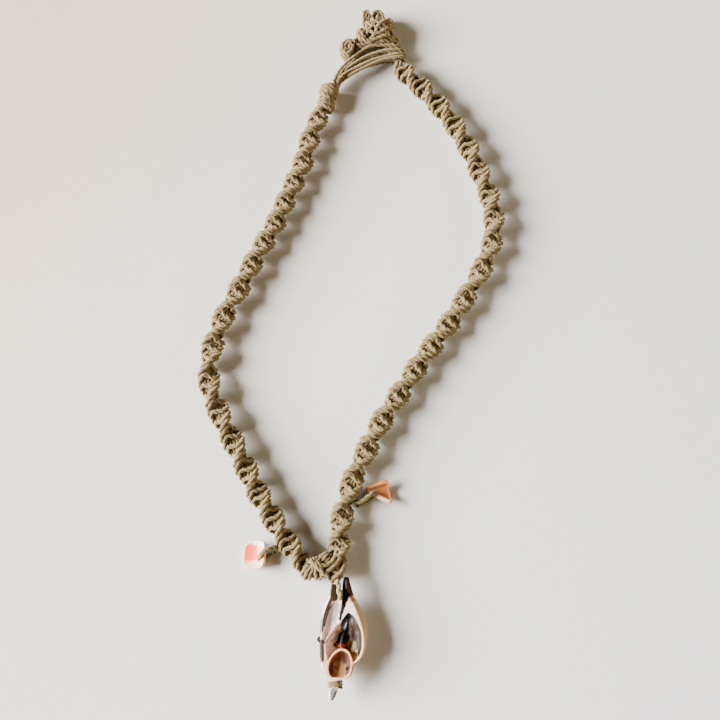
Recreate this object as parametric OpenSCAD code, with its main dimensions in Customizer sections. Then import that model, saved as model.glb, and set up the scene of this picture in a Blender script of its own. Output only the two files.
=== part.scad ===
// Shell necklace: two knotted hemp bands, a button and loop closure,
// a cut spiral shell hanging from the centre knot and two small shell chips.
// It lies flat on a surface, in millimetres, with +Y towards the closure.

/* [Cord] */
// Diameter of one hemp cord
cord_d = 1.25; // [1.0:0.05:1.3]
// Distance between two turns of cord, as a share of its diameter
turn_pitch = 0.96; // [0.85:0.01:1.0]

/* [Knotted bands] */
// Width of the twisted band across its broad face
band_w = 7.2; // [6.6:0.1:7.4]
// Thickness of the twisted band
band_t = 4.0; // [3.4:0.1:4.2]
// Half knots in each half turn of the band
knots_per_turn = 5; // [3:1:6]
// Share by which the band narrows between two half knots
knuckle = 0.14; // [0:0.01:0.2]

/* [Closure] */
// Diameter of the cord bundle that joins the button to its band
neck_d = 2.7; // [2.0:0.1:2.8]
// Radius at which the loop's strands turn round the neck
loop_turn_r = 2.2; // [2.15:0.05:2.4]

/* [Pendant shell] */
// Height of the shell's ground face above the surface it lies on
ground_z = 6.6; // [6.2:0.1:7.0]
// Depth of the opened chambers, as a share of their full depth
chamber_depth = 1.0; // [0.6:0.05:1.1]
// Diameter of the cord between the prongs
hanger_d = 1.0; // [0.8:0.05:1.05]
// Diameter of the cord wound round the shell's tip
tip_cord_d = 0.9; // [0.7:0.05:0.95]

/* [Shell chips] */
// Wall of the dished chips
chip_wall = 1.2; // [1.0:0.1:1.5]
// Diameter of the hole through each chip
chip_hole_d = 1.8; // [1.7:0.1:2.0]
// Diameter of the cord that ties each chip on
tie_d = 1.1; // [0.9:0.05:1.2]

/* [Hidden] */

// The places below are measured on the laid-out necklace.
// This is the middle of its outline, which goes to the origin.
layout_middle = [0, 0.45, 0];

// Polygon sides of the swept bands, cords and cord bundles
band_sides = 10;
cord_sides = 6;
bundle_sides = 10;
// Facets of the round turns in a knot
turn_facets = 32;
// The bands rest on their edges
band_z = band_w / 2;

hemp = [0.72, 0.62, 0.47];
shell_outside = [0.74, 0.62, 0.52];
shell_chip = [0.95, 0.72, 0.64];
shell_chip_dark = [0.76, 0.50, 0.34];

// Centre lines of the bands, from the closure to the centre knot, with one
// point at each broad face. Between two points the band makes half a turn.
left_route = [
    [-9.0, 82.5], [-13.0, 73.5], [-16.0, 65.0], [-18.0, 56.5], [-21.0, 49.0],
    [-24.0, 41.5], [-27.0, 34.0], [-30.5, 27.0], [-34.5, 19.0], [-38.5, 10.0],
    [-43.0, 0.5], [-46.0, -9.5], [-46.5, -20.5], [-43.0, -30.5], [-38.0, -40.0],
    [-33.5, -49.0], [-29.5, -56.5], [-25.0, -64.0], [-20.0, -71.5], [-14.5, -78.0],
    [-6.0, -79.5]];
right_route = [
    [13.0, 101.0], [16.5, 93.5], [22.5, 87.0], [28.5, 80.0], [34.0, 72.0],
    [38.5, 63.5], [42.0, 54.5], [45.0, 45.5], [46.5, 36.5], [45.5, 27.5],
    [41.5, 17.5], [35.5, 7.0], [30.0, -1.5], [24.5, -9.0], [19.0, -17.0],
    [13.5, -25.5], [8.0, -34.0], [3.5, -43.0], [-1.0, -53.0], [-4.0, -64.0],
    [-4.8, -72.0], [-4.6, -79.5]];
// Stretch of each route that the band fills, counted in half turns
left_span = [0.6, 19.0];
right_span = [0.85, 20.45];
// Length over which a band tapers at its ends, and its size at the very end
taper_turns = 0.4;
end_size = 0.78;

// Lobes of the knots, each a short barrel of cord turns:
// x, y, z of its middle, direction of its axis, number of turns, radius
end_knot_lobes = [
    [-9.2, 84.8, 3.6, 80, 4, 3.6],
    [-9.8, 81.9, 3.6, 52, 2, 3.3],
    [-10.4, 79.2, 3.6, 67, 3, 3.4]];
button_lobes = [
    [3.7, 113.4, 4.2, 6, 3, 4.1],
    [8.1, 112.6, 4.3, -12, 4, 4.3],
    [12.0, 110.9, 3.4, -32, 2, 3.3],
    [5.6, 109.0, 4.0, -20, 3, 3.6],
    [2.4, 106.4, 4.0, 24, 3, 3.9],
    [9.0, 106.8, 4.2, -58, 4, 3.9],
    [12.9, 105.5, 3.4, 80, 2, 2.8],
    [-0.4, 104.2, 3.4, -40, 2, 2.6],
    [-2.9, 101.6, 3.5, 30, 4, 3.4]];
centre_knot_lobes = [
    [-11.3, -78.9, 3.6, -4, 3, 3.6],
    [-8.6, -79.4, 3.5, 30, 2, 2.9],
    [-9.0, -76.2, 3.6, -50, 3, 2.5],
    [-5.6, -80.0, 3.8, 87, 4, 2.6]];

// Cord bundle from the right band through the loop and through the lobes
neck_route = [
    [15.9, 95.2, 2.9], [15.0, 97.6, 2.9], [13.6, 100.4, 2.9], [11.6, 103.2, 3.0],
    [8.4, 106.6, 3.6], [2.4, 106.4, 3.8], [-2.9, 101.6, 3.5]];

// Upper leg of each strand of the button loop, from the end knot to the neck
loop_legs = [
    [[-7.6, 87.6, 5.5], [-5.9, 91.4, 5.3], [-3.4, 94.7, 5.0], [1.0, 98.2, 4.9],
     [5.0, 100.4, 5.0], [9.0, 101.8, 5.1], [13.0, 102.4, 5.1]],
    [[-7.6, 87.6, 4.2], [-5.2, 90.9, 4.2], [-2.6, 93.5, 4.6], [1.4, 96.4, 4.8],
     [5.4, 98.4, 5.0], [9.6, 99.9, 5.1], [14.0, 100.8, 5.1]],
    [[-6.3, 87.4, 5.5], [-4.4, 90.2, 5.3], [-1.9, 92.2, 5.0], [1.9, 94.6, 4.9],
     [5.8, 96.5, 5.0], [10.2, 98.1, 5.1], [14.6, 99.2, 5.1]],
    [[-6.3, 87.4, 4.2], [-3.7, 89.2, 4.2], [-1.2, 90.9, 4.6], [2.4, 93.0, 4.8],
     [6.2, 94.9, 5.0], [10.6, 96.6, 5.1], [14.8, 97.7, 5.1]]];
// Height of the loop's lower leg at each of those points, for the strands
// that leave the end knot lowest and second lowest
loop_low_z = [[1.6, 2.2, 2.8, 3.2, 2.6, 1.3, 0.65], [2.9, 2.9, 3.1, 3.2, 2.6, 1.3, 0.65]];
// Shift of each strand's lower leg, so that it lies close below the others
loop_low_shift = [0.1, 0.4, 0.8, 1.1];

// Cord that holds the shell: it leaves the knot, runs between the prongs
// and ends in the hole at the top of the shell
hanger_route = [
    [-5.3, -82.8, 4.4], [-4.7, -84.4, 4.9], [-4.3, -85.9, 5.2],
    [-4.0, -87.5, 5.2], [-3.9, -88.9, 4.9]];
// Middle of the hole at the shell's top, in the shell's own places,
// and the room it leaves round the cord
hanger_hole = [-0.4, 11.6, 1.8];
hanger_room = 0.5;

// Place of the shell's own zero point, near its widest part
shell_at = [-3.4, -101.2];
// Sections of the shell across its length:
// y, left and right edge of the ground face, left and right side, depth
shell_rows = [
    [-15.4, -3.5, -2.9, -3.7, -2.7, 0.9],
    [-13.9, -4.0, -2.1, -4.2, -1.9, 1.7],
    [-12.9, -3.9, -1.7, -4.1, -1.5, 2.1],
    [-12.1, -3.0, -1.5, -3.2, -1.3, 2.0],
    [-9.9, -3.0, -1.4, -3.2, -1.2, 2.0],
    [-9.2, -4.6, 1.5, -4.9, 1.8, 3.9],
    [-7.3, -5.6, 2.5, -6.0, 2.9, 4.8],
    [-5.6, -6.0, 2.9, -6.4, 3.3, 5.6],
    [-4.4, -6.2, 4.6, -6.6, 4.9, 6.0],
    [-2.9, -6.4, 5.7, -6.8, 6.0, 6.3],
    [-0.5, -6.5, 6.3, -6.9, 6.6, 6.6],
    [2.0, -6.5, 6.2, -6.9, 7.2, 6.6],
    [4.5, -6.3, 5.8, -6.8, 7.3, 6.5],
    [7.3, -6.0, 4.9, -6.5, 6.7, 6.2],
    [9.4, -5.5, 4.1, -6.0, 5.8, 5.8],
    [11.5, -4.8, 3.2, -5.3, 4.7, 5.2],
    [13.2, -4.1, 2.6, -4.6, 3.8, 4.6]];
left_prong_rows = [
    [12.8, -4.2, -1.5, -4.7, -1.4, 3.6],
    [15.5, -3.6, -1.9, -4.0, -1.8, 2.6],
    [17.5, -3.3, -2.3, -3.6, -2.2, 1.8]];
right_prong_rows = [
    [12.8, 0.3, 2.6, 0.2, 3.6, 4.2],
    [15.5, 0.0, 2.2, -0.1, 2.8, 3.2],
    [17.8, 0.1, 1.8, 0.0, 2.1, 2.4],
    [19.5, 0.4, 1.4, 0.3, 1.7, 1.5]];
// Sections of the chambers that the cut opened: y, left, right, depth
left_chamber = [
    [12.4, -2.8, -1.0, 0.8], [11.2, -3.7, -0.2, 2.0], [9.4, -4.8, -0.4, 2.8],
    [7.3, -5.4, -1.0, 3.2], [5.5, -5.7, -2.1, 3.2], [3.4, -5.9, -3.6, 2.6],
    [1.9, -5.9, -4.7, 1.6], [0.8, -5.8, -5.3, 0.8]];
right_chamber = [
    [9.1, 1.4, 2.1, 0.8], [7.9, 0.4, 3.5, 2.4], [6.4, -0.6, 4.3, 3.4],
    [4.6, -1.4, 5.1, 4.0], [3.1, -2.7, 5.5, 4.2], [1.6, -4.0, 5.6, 4.3],
    [0.4, -5.0, 5.6, 4.3], [-0.9, -5.4, 5.5, 4.2], [-2.5, -5.3, 5.1, 3.8],
    [-3.6, -5.1, 4.4, 3.2], [-4.4, -4.9, 3.8, 2.0], [-4.9, -4.5, 3.0, 0.8]];
lower_chamber = [
    [-2.1, -0.8, 0.2, 0.8], [-2.8, -1.9, 1.0, 1.8], [-4.1, -2.9, 1.6, 2.8],
    [-5.5, -3.5, 1.9, 3.2], [-7.0, -3.6, 1.7, 3.0], [-8.4, -3.1, 1.0, 2.2],
    [-9.1, -2.4, 0.0, 0.8]];
// Wall round the lower chamber, which stands in the right chamber
lower_wall = [
    [-1.3, -0.9, 0.5, 1.6], [-1.8, -1.9, 1.5, 4.4], [-2.8, -3.0, 2.1, 4.8],
    [-4.1, -3.9, 2.6, 5.0], [-5.5, -4.3, 2.7, 4.8]];
// Dark inner pillar of the shell, seen in the right chamber: x, y, height
// below the ground face, radius
pillar = [[1.5, 8.0, 2.2, 0.5], [1.0, 5.0, 2.8, 0.9], [0.3, 2.0, 3.0, 1.4], [-0.1, -0.6, 3.1, 1.7]];
// Worn stub of a spine on the shell's left side: x, y, height below the
// ground face, radius
spine_stub = [-6.8, 1.6, 2.0, 0.7];
// Middle of the cord turns round the tip, in the shell's own places
wrap_at = [-2.2, -11.0, 1.0];
wrap_r = 1.9;

// Left chip: outline round its own middle
left_chip_at = [-32.5, -74.6];
left_chip_outline = [
    [3.3, 3.6], [3.4, 2.2], [3.2, -2.2], [2.8, -4.0], [0.0, -4.3], [-2.4, -3.9],
    [-3.6, -2.0], [-3.6, 0.8], [-2.4, 3.2], [-0.2, 4.0]];
left_chip_r = 8;
left_chip_tilt = 20;
left_chip_hole = [1.6, -0.9];
left_tie_route = [
    [-23.5, -73.0, 3.7], [-25.2, -73.4, 4.6], [-27.3, -74.4, 4.7], [-28.7, -75.4, 3.0],
    [-28.4, -75.5, 1.5], [-27.6, -75.4, 0.62], [-26.0, -75.0, 0.8], [-24.4, -74.4, 2.2]];

// Right chip, a fan that opens away from the band: sections along its
// length with half width, depth and rise of its back
right_chip_at = [3.4, -54.6];
right_chip_turn = -8;
right_chip_rows = [
    [0.0, 0.9, 1.0], [1.5, 1.5, 1.6], [3.5, 2.4, 2.3], [6.0, 3.2, 2.9], [8.0, 3.6, 3.1],
    [8.9, 3.1, 2.8]];
right_chip_top_z = 3.4;
right_chip_hole = [2.7, -0.9];
right_tie_route = [
    [-0.4, -58.9, 3.6], [2.2, -58.6, 4.3], [4.4, -57.2, 4.4], [5.9, -56.0, 3.6],
    [6.0, -55.9, 1.2], [4.8, -57.2, 0.6], [2.6, -58.8, 0.9], [0.6, -59.8, 2.0]];

function unit(v) = v / norm(v);
function signed_pow(v, p) = sign(v) * pow(abs(v), p);
function reversed(list) = [for (i = [len(list) - 1 : -1 : 0]) list[i]];

// Point i of a route, continued straight past both ends
function route_point(route, i) =
    let (last = len(route) - 1)
    i < 0 ? 2 * route[0] - route[1]
    : i > last ? 2 * route[last] - route[last - 1]
    : route[i];

// Smooth curve through a route's points: u counts the points passed
function along(route, u) =
    let (i = min(max(floor(u), 0), len(route) - 2), t = u - i,
         a = route_point(route, i - 1), b = route_point(route, i),
         c = route_point(route, i + 1), d = route_point(route, i + 2))
    b + (c - a) * t / 2
    + (2 * a - 5 * b + 4 * c - d) * t * t / 2
    + (3 * b - a - 3 * c + d) * t * t * t / 2;
function heading(route, u) = unit(along(route, u + 0.01) - along(route, u - 0.01));

// One closed skin over rings of equal length that run round the way ahead
module skin(rings) {
    n = len(rings[0]);
    end = (len(rings) - 1) * n;
    walls = [for (first = [0 : n : end - n], k = [0 : n - 1])
        let (a = first + k, b = first + (k + 1) % n) each [[a, b + n, b], [a, a + n, b + n]]];
    start_cap = [for (k = [1 : n - 2]) [0, k, k + 1]];
    end_cap = [for (k = [1 : n - 2]) [end, end + k + 1, end + k]];
    polyhedron([for (ring = rings) each ring], concat(walls, start_cap, end_cap));
}

// Section of the twisted band: full size at a half knot, narrower between
// two of them and at the band's ends
function band_ring(route, span, u) =
    let (p = along(route, u), ahead = heading(route, u),
         side = cross([0, 0, 1], [ahead.x, ahead.y, 0]), up = [0, 0, 1],
         wide = side * cos(180 * u) + up * sin(180 * u),
         thin = up * cos(180 * u) - side * sin(180 * u),
         at_knot = round(u * 2 * knots_per_turn) % 2,
         from_end = min(u - span[0], span[1] - u) / taper_turns,
         size = (1 - knuckle * (1 - at_knot)) * min(1, end_size + (1 - end_size) * from_end))
    [for (k = [0 : band_sides - 1]) let (a = 360 * k / band_sides)
        [p.x, p.y, band_z]
        + wide * size * band_w / 2 * signed_pow(cos(a), 0.8)
        + thin * size * band_t / 2 * signed_pow(sin(a), 0.8)];

module band(route, span) {
    step = 1 / (2 * knots_per_turn);
    skin([for (u = [span[0] : step : span[1] + step / 2]) band_ring(route, span, u)]);
}

// Side directions of a tube, carried along its headings without twist
function carried(headings, side, i = 0) =
    let (here = unit(side - headings[i] * (side * headings[i])))
    i == len(headings) - 1 ? [here] : concat([here], carried(headings, here, i + 1));

// Round tube along a route, with the given number of rings a point
module tube(route, d, sides, steps = 2) {
    stops = [for (i = [0 : (len(route) - 1) * steps]) i / steps];
    headings = [for (u = stops) heading(route, u)];
    across = carried(headings, [0.3, 0.2, 1]);
    skin([for (i = [0 : len(stops) - 1])
        let (p = along(route, stops[i]), s = across[i], t = cross(headings[i], s))
        [for (k = [0 : sides - 1]) let (a = 360 * k / sides)
            p + d / 2 * (s * cos(a) + t * sin(a))]]);
}

// Barrel of cord turns round the X axis, fullest in the middle
module turns(count, r, d) {
    pitch = d * turn_pitch;
    middle = (count - 1) / 2;
    rotate([0, 90, 0]) rotate_extrude($fn = turn_facets) {
        for (i = [0 : count - 1])
            translate([r - d / 2 - 0.1 * pow(i - middle, 2), (i - middle) * pitch])
                circle(d = d, $fn = 16);
        translate([0, -(middle + 0.3) * pitch]) square([r - d / 2, (2 * middle + 0.6) * pitch]);
    }
}

module lobes(table) {
    for (row = table)
        translate([row[0], row[1], row[2]]) rotate([0, 0, row[3]]) turns(row[4], row[5], cord_d);
}

module left_sinnet() { color(hemp) translate(-layout_middle) band(left_route, left_span); }

module right_sinnet() { color(hemp) translate(-layout_middle) band(right_route, right_span); }

module end_knot() { color(hemp) translate(-layout_middle) lobes(end_knot_lobes); }

// Each strand goes over the neck, turns round it and comes back below it
module button_loop() {
    color(hemp) translate(-layout_middle)
        for (i = [0 : len(loop_legs) - 1]) {
            leg = loop_legs[i];
            tip = leg[len(leg) - 1];
            turn = [for (a = [45, 90, 135])
                [tip.x + 0.6 + loop_turn_r * sin(a), tip.y + loop_low_shift[i] * a / 180,
                 tip.z - loop_turn_r * (1 - cos(a))]];
            low_z = loop_low_z[i % 2];
            back = [for (k = [len(leg) - 1 : -1 : 0])
                [leg[k].x, leg[k].y + (k > 0 ? loop_low_shift[i] : 0), low_z[k]]];
            tube(concat(leg, turn, back), cord_d, cord_sides);
        }
}

module button_knot() {
    color(hemp) translate(-layout_middle) {
        lobes(button_lobes);
        tube(neck_route, neck_d, bundle_sides);
    }
}

module centre_knot() { color(hemp) translate(-layout_middle) lobes(centre_knot_lobes); }

module hanger_cord() { color(hemp) translate(-layout_middle) tube(hanger_route, hanger_d, 8); }

// Section of the shell: flat ground face on top, sides that swell out
// below it and a round back
function shell_section(row) =
    let (side_z = ground_z - 0.3 * row[5], mid = (row[3] + row[4]) / 2, half = (row[4] - row[3]) / 2)
    concat([[row[1], row[0], ground_z], [row[2], row[0], ground_z]],
           [for (a = [0 : 22.5 : 180])
               [mid + half * cos(a), row[0], side_z - 0.7 * row[5] * pow(sin(a), 0.9)]]);

// Section of a chamber or of a wall round one, from a top height down
function chamber_section(row, top, depth) =
    let (mid = (row[1] + row[2]) / 2, half = (row[2] - row[1]) / 2)
    concat([[row[1], row[0], top], [row[2], row[0], top]],
           [for (a = [0 : 22.5 : 180]) [mid + half * cos(a), row[0], ground_z - depth * pow(sin(a), 0.8)]]);

module chamber(rows) {
    skin([for (row = reversed(rows)) chamber_section(row, ground_z + 1, row[3] * chamber_depth)]);
}

module shell_body() {
    skin([for (row = shell_rows) shell_section(row)]);
    skin([for (row = left_prong_rows) shell_section(row)]);
    skin([for (row = right_prong_rows) shell_section(row)]);
    translate([spine_stub.x, spine_stub.y, ground_z - spine_stub[2]]) sphere(r = spine_stub[3], $fn = 16);
}

module shell_pillar() {
    step = 0.25;
    for (u = [0 : step : len(pillar) - 1 - step])
        hull() for (p = [along(pillar, u), along(pillar, u + step)])
            translate([p.x, p.y, ground_z - p[2]]) sphere(r = p[3], $fn = 16);
}

module pendant_shell() {
    color(shell_outside) translate(-layout_middle) translate(shell_at)
        difference() {
            union() {
                difference() {
                    shell_body();
                    chamber(left_chamber);
                    chamber(right_chamber);
                    translate([hanger_hole.x, hanger_hole.y, ground_z - hanger_hole.z])
                        rotate([-84, 0, 8]) cylinder(d = hanger_d + hanger_room, h = 3, $fn = 24);
                }
                shell_pillar();
                skin([for (row = reversed(lower_wall)) chamber_section(row, ground_z, row[3])]);
            }
            chamber(lower_chamber);
        }
}

// Two turns of cord in the groove above the shell's tip
module tip_wrap() {
    color(hemp) translate(-layout_middle)
        translate([shell_at.x + wrap_at.x, shell_at.y + wrap_at.y, ground_z - wrap_at.z])
            rotate([90, 0, 0]) rotate_extrude($fn = turn_facets)
                for (side = [-1, 1])
                    translate([wrap_r, side * tip_cord_d * turn_pitch / 2]) circle(d = tip_cord_d, $fn = 16);
}

module left_chip() {
    color(shell_chip) translate(-layout_middle) translate(left_chip_at)
        translate([0, 0, left_chip_r]) rotate([0, -left_chip_tilt, 0]) difference() {
            intersection() {
                rotate([90, 0, 0]) sphere(r = left_chip_r, $fn = 64);
                translate([0, 0, -left_chip_r - 1]) linear_extrude(left_chip_r) polygon(left_chip_outline);
            }
            translate([0, 0, 0.5]) rotate([90, 0, 0]) sphere(r = left_chip_r - chip_wall + 0.5, $fn = 64);
            translate([left_chip_hole.x, left_chip_hole.y, -left_chip_r - 1])
                cylinder(d = chip_hole_d, h = left_chip_r, $fn = 24);
        }
}

module left_chip_tie() { color(hemp) translate(-layout_middle) tube(left_tie_route, tie_d, 8); }

// Dished section of the right chip, with its back rounded below
function fan_section(row, inset) =
    let (half = row[1] - inset, depth = row[2] - inset, top = right_chip_top_z + (inset > 0 ? 1 : 0))
    concat([[row[0], half, top], [row[0], -half, top]],
           [for (a = [0 : 22.5 : 180]) [row[0], -half * cos(a), right_chip_top_z - depth * sin(a)]]);

module right_chip() {
    color(shell_chip_dark) translate(-layout_middle) translate(right_chip_at) rotate([0, 0, right_chip_turn])
        difference() {
            skin([for (row = right_chip_rows) fan_section(row, 0)]);
            skin([for (row = right_chip_rows) if (row[1] > chip_wall + 0.05) fan_section(row, chip_wall)]);
            translate([right_chip_hole.x, right_chip_hole.y, -1]) cylinder(d = chip_hole_d, h = 5, $fn = 24);
        }
}

module right_chip_tie() { color(hemp) translate(-layout_middle) tube(right_tie_route, tie_d, 8); }

left_sinnet();
right_sinnet();
end_knot();
button_loop();
button_knot();
centre_knot();
hanger_cord();
pendant_shell();
tip_wrap();
left_chip();
left_chip_tie();
right_chip();
right_chip_tie();
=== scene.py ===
import math
import random

import bpy
import numpy as np
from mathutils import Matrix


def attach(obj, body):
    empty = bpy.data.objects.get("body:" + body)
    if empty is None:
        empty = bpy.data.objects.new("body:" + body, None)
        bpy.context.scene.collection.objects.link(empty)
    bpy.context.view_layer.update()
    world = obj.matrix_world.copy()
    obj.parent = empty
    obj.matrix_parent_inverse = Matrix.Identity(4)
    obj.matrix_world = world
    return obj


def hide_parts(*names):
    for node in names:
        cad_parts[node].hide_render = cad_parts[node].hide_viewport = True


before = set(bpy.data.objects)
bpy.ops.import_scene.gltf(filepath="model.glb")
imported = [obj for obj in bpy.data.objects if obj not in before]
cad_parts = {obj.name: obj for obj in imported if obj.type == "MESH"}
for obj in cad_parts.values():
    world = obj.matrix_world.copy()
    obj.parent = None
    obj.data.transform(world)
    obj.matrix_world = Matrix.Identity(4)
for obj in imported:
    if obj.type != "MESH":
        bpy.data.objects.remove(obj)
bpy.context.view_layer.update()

# Camera of the photograph: held above the necklace and tilted a little
# towards the closure, 310 mm from the table.
CAMERA_PLACE = (0.0016, -0.10745, 0.31037)
CAMERA_TILT = 17

camera_data = bpy.data.cameras.new("photo_camera")
camera_data.lens = 50
camera_data.sensor_width = 36
camera_data.clip_start = 0.01
camera = bpy.data.objects.new("photo_camera", camera_data)
camera.location = CAMERA_PLACE
camera.rotation_euler = (math.radians(CAMERA_TILT), 0, 0)
bpy.context.scene.collection.objects.link(camera)
bpy.context.scene.camera = camera


# Pale painted table top, lit by a window on the left, by a weak warm light
# from the right and by the warm glow of the room all round. Towards the far
# left corner, by the window, its colour is painted darker and pinker: painted shade.
TABLE_SIZE = 4
TABLE_GAP = 0.0002


def new_material(name, roughness):
    """A plain material, with its nodes, its links and its shader."""
    material = bpy.data.materials.new(name)
    material.use_nodes = True
    nodes = material.node_tree.nodes
    shader = nodes["Principled BSDF"]
    shader.inputs["Roughness"].default_value = roughness
    return material, nodes, material.node_tree.links, shader


def colour_ramp(nodes, stops):
    """Colours that blend into each other from stop to stop."""
    ramp = nodes.new("ShaderNodeValToRGB")
    ramp.color_ramp.elements.remove(ramp.color_ramp.elements[1])
    for i, (place, colour) in enumerate(stops):
        stop = ramp.color_ramp.elements[0] if i == 0 else ramp.color_ramp.elements.new(place)
        stop.position = place
        stop.color = (*colour, 1)
    return ramp


def noise_texture(nodes, links, vector, scale, detail):
    """Soft noise over the given places, finer the larger its scale."""
    texture = nodes.new("ShaderNodeTexNoise")
    texture.inputs["Scale"].default_value = scale
    texture.inputs["Detail"].default_value = detail
    links.new(vector, texture.inputs["Vector"])
    return texture


bpy.ops.object.select_all(action="DESELECT")
bpy.ops.mesh.primitive_plane_add(size=TABLE_SIZE, location=(0, 0, -TABLE_GAP))
table = bpy.context.object
table.name = "table"
bpy.ops.object.transform_apply(location=True)
table_paint, nodes, links, shader = new_material("table_paint", roughness=0.55)
where = nodes.new("ShaderNodeTexCoord")
across = nodes.new("ShaderNodeMapping")
across.inputs["Rotation"].default_value = (0, 0, math.radians(25))
across.inputs["Scale"].default_value = (2.2, 2.2, 2.2)
across.inputs["Location"].default_value = (0.5, 0, 0)
links.new(where.outputs["Object"], across.inputs["Vector"])
gradient = nodes.new("ShaderNodeTexGradient")
links.new(across.outputs["Vector"], gradient.inputs["Vector"])
# Painted shade: darker, pinker paint towards the far left corner
tone = colour_ramp(nodes, [
    (0.15, (0.54, 0.41, 0.33)), (0.5, (0.66, 0.66, 0.61)), (0.8, (0.73, 0.73, 0.74))])
links.new(gradient.outputs["Fac"], tone.inputs["Fac"])
links.new(tone.outputs["Color"], shader.inputs["Base Color"])
table.data.materials.append(table_paint)


def area_light(name, place, size, power, colour):
    """Square light that points at the middle of the necklace."""
    data = bpy.data.lights.new(name, "AREA")
    data.size = size
    data.energy = power
    data.color = colour
    light = bpy.data.objects.new(name, data)
    light.location = place
    x, y, z = place
    light.rotation_euler = (0, math.acos(z / math.sqrt(x * x + y * y + z * z)), math.atan2(y, x))
    bpy.context.scene.collection.objects.link(light)


area_light("window", (-1.23, -0.06, 0.55), size=0.75, power=160, colour=(1.0, 0.99, 0.98))
area_light("room", (1.3, -0.2, 0.22), size=1.2, power=26, colour=(1.0, 0.84, 0.60))
world = bpy.data.worlds.new("room_light")
world.use_nodes = True
glow = world.node_tree.nodes["Background"]
glow.inputs["Color"].default_value = (1.0, 0.70, 0.38, 1)
glow.inputs["Strength"].default_value = 0.07
bpy.context.scene.world = world


# Left and right band: each is tied from two working cords round a core of
# straight ones, in half knots that all start from the same side, so that the
# band turns round itself. The cord is two-ply hemp, 1.25 mm thick.
MM = 0.001
# All places are in millimetres on the table; this one comes to lie at zero
LAYOUT_MIDDLE = np.array([0.0, 0.45, 0.0])

CORD_D = 1.25
# Cords that are less tightly drawn are thicker
WORKING_CORD_D = CORD_D * 1.18
CORE_CORD_D = CORD_D * 1.22
# The two plies turn round each other once in this length; how far each lies
# from the cord's middle, and its radius, are in cord diameters.
CORD_LAY = 4.2
PLY_OFFSET = 0.14
PLY_R = 0.375
PLY_FACETS = 6
RING_STEP = 0.42
CORE_RING_STEP = 0.8

BAND_Z = 3.6
KNOTS_PER_TURN = 3.5
LEFT_SPAN = (0.6, 19.0)
RIGHT_SPAN = (0.85, 20.45)
CORE_PLACES = (-1.9, -0.95, 0.0, 0.95, 1.9)
CORE_STEP = 0.1

left_route = [
    [-9.0, 82.5], [-13.0, 73.5], [-16.0, 65.0], [-18.0, 56.5], [-21.0, 49.0],
    [-24.0, 41.5], [-27.0, 34.0], [-30.5, 27.0], [-34.5, 19.0], [-38.5, 10.0],
    [-43.0, 0.5], [-46.0, -9.5], [-46.5, -20.5], [-43.0, -30.5], [-38.0, -40.0],
    [-33.5, -49.0], [-29.5, -56.5], [-25.0, -64.0], [-20.0, -71.5], [-14.5, -78.0],
    [-6.0, -79.5]]
right_route = [
    [13.0, 101.0], [16.5, 93.5], [22.5, 87.0], [28.5, 80.0], [34.0, 72.0],
    [38.5, 63.5], [42.0, 54.5], [45.0, 45.5], [46.5, 36.5], [45.5, 27.5],
    [41.5, 17.5], [35.5, 7.0], [30.0, -1.5], [24.5, -9.0], [19.0, -17.0],
    [13.5, -25.5], [8.0, -34.0], [3.5, -43.0], [-1.0, -53.0], [-4.0, -64.0],
    [-4.8, -72.0], [-4.6, -79.5]]

# Way of a working cord through one half knot: across the band's width,
# through its thickness, and along it in knots. It comes out from behind the
# other cord, runs down the edge and crosses the front back up a little.
half_knot = [
    (0.82, -0.78, -0.95), (0.92, -0.42, -0.68), (1.05, 0.10, -0.34), (0.99, 0.72, 0.0),
    (0.62, 1.10, 0.20), (0.0, 1.16, 0.04), (-0.55, 0.96, -0.14)]
KNOT_W = 2.75
KNOT_T = 1.22
FLAT_SPREAD = 0.07
NECK_TWIST = 0.2
TAPER_TURNS = 0.4
END_SIZE = 0.78
LEAST_SIZE = 0.7


def curve_through(points, u):
    """Smooth curve through points; u counts the points passed."""
    points = np.asarray(points, float)
    ends = np.vstack([2 * points[0] - points[1], points, 2 * points[-1] - points[-2]])
    u = np.atleast_1d(u).astype(float)
    i = np.clip(np.floor(u).astype(int), 0, len(points) - 2)
    t = (u - i)[:, None]
    a, b, c, d = ends[i], ends[i + 1], ends[i + 2], ends[i + 3]
    return b + (c - a) * t / 2 + (2 * a - 5 * b + 4 * c - d) * t**2 / 2 + (3 * b - a - 3 * c + d) * t**3 / 2


def finer(rows, parts):
    """Rows on the smooth curve through a table's rows, each gap divided into parts."""
    return curve_through(rows, np.linspace(0, len(rows) - 1, (len(rows) - 1) * parts + 1))


def evenly_spaced(points, step):
    """Points at equal steps along the smooth curve through the given ones."""
    dense = finer(points, parts=12)
    far = np.concatenate([[0], np.cumsum(np.linalg.norm(np.diff(dense, axis=0), axis=1))])
    stops = np.linspace(0, far[-1], max(3, int(round(far[-1] / step)) + 1))
    return np.stack([np.interp(stops, far, dense[:, k]) for k in range(3)], axis=1), stops


def side_directions(points):
    """Two directions square to a path, carried along it without twist."""
    ahead = np.gradient(points, axis=0)
    ahead /= np.linalg.norm(ahead, axis=1)[:, None]
    any_way_but_ahead = [0.31, 0.22, 1.0]
    side = np.cross(ahead[0], any_way_but_ahead)
    sides = []
    for h in ahead:
        side = side - h * (side @ h)
        side /= np.linalg.norm(side)
        sides.append(side)
    sides = np.array(sides)
    return sides, np.cross(ahead, sides)


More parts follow.
